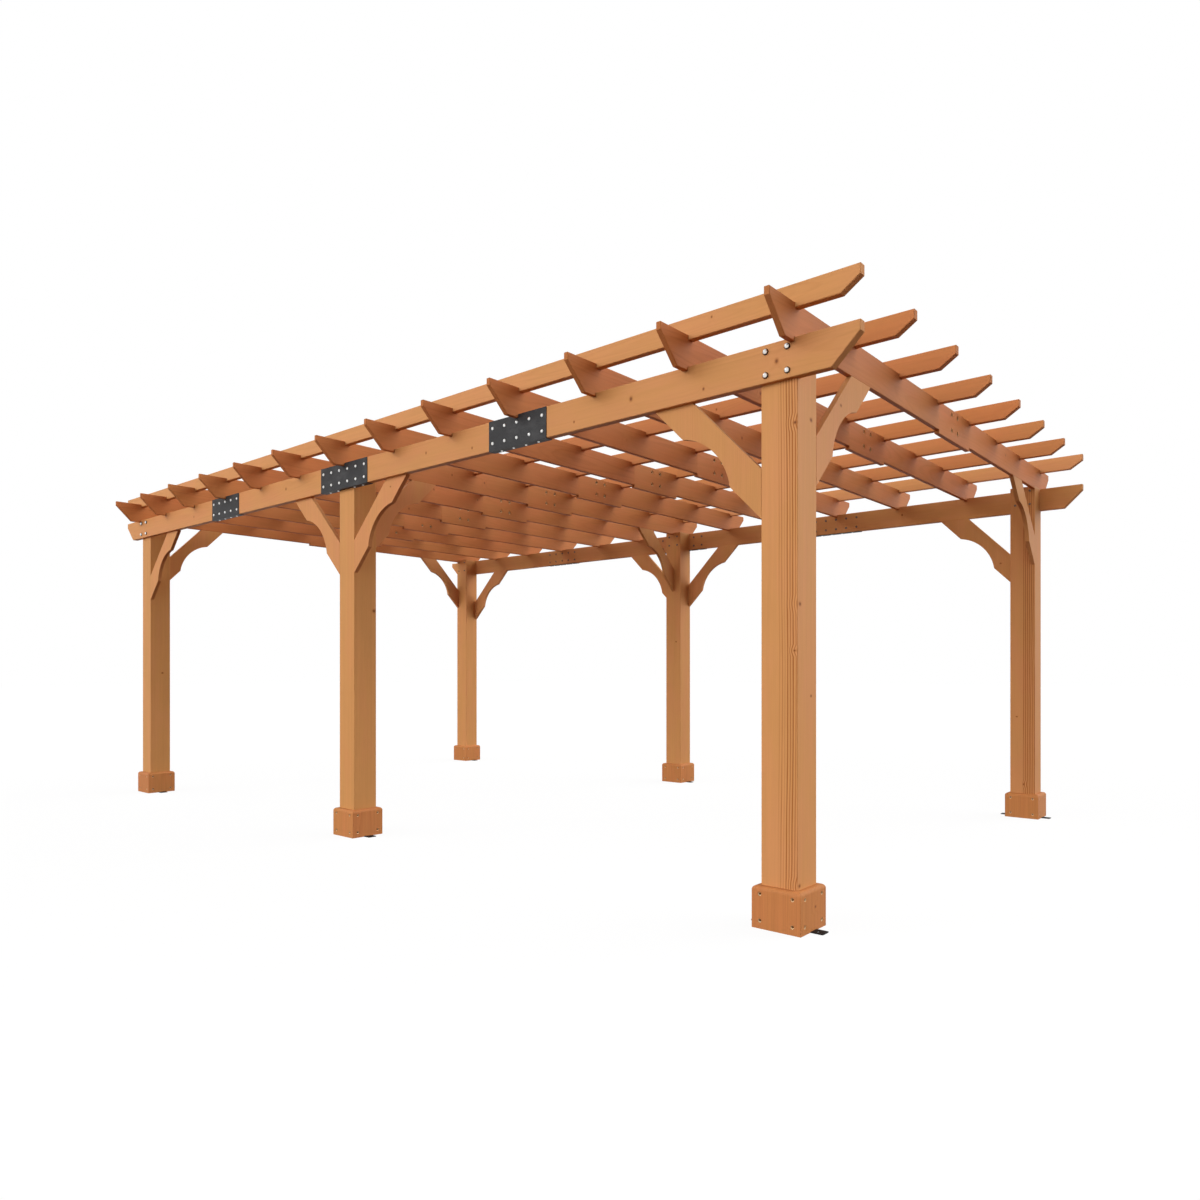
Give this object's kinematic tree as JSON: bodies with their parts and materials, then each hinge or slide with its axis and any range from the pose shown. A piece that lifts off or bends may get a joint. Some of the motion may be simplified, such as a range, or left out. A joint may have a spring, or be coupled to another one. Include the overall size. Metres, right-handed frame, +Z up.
{
  "type": "wooden pergola",
  "caption": "Open timber garden pergola on square posts in two rows, with long side beams, notched rafters and purlins, scalloped knee braces and steel splice plates.",
  "frame": {"origin": "on the ground at the middle of the plan", "axes": "+X along the long beams towards the right-hand end, +Y from the front row of posts to the back row, +Z up"},
  "size_m": [6.07, 3.688, 2.2865],
  "materials": {
    "timber": "stained softwood, planed, matt",
    "black_steel": "black powder coat, semi-matt"
  },
  "bodies": {
    "root": {"post_front_left": "timber", "skirt_front_left": "timber", "anchor_front_left": "black_steel", "braces_front_left": "timber", "post_front_middle": "timber", "skirt_front_middle": "timber", "anchor_front_middle": "black_steel", "braces_front_middle": "timber", "post_front_right": "timber", "skirt_front_right": "timber", "anchor_front_right": "black_steel", "braces_front_right": "timber", "beam_front": "timber", "splice_plates_front": "black_steel", "post_back_left": "timber", "skirt_back_left": "timber", "anchor_back_left": "black_steel", "braces_back_left": "timber", "post_back_middle": "timber", "skirt_back_middle": "timber", "anchor_back_middle": "black_steel", "braces_back_middle": "timber", "post_back_right": "timber", "skirt_back_right": "timber", "anchor_back_right": "black_steel", "braces_back_right": "timber", "beam_back": "timber", "splice_plates_back": "black_steel", "rafter_01": "timber", "rafter_02": "timber", "rafter_03": "timber", "rafter_04": "timber", "rafter_05": "timber", "rafter_06": "timber", "rafter_07": "timber", "rafter_08": "timber", "rafter_09": "timber", "rafter_10": "timber", "rafter_11": "timber", "rafter_12": "timber", "rafter_13": "timber", "purlin_1": "timber", "purlin_2": "timber", "purlin_3": "timber", "purlin_4": "timber", "purlin_5": "timber", "purlin_6": "timber", "purlin_7": "timber", "purlin_8": "timber"}
  },
  "joints": []
}
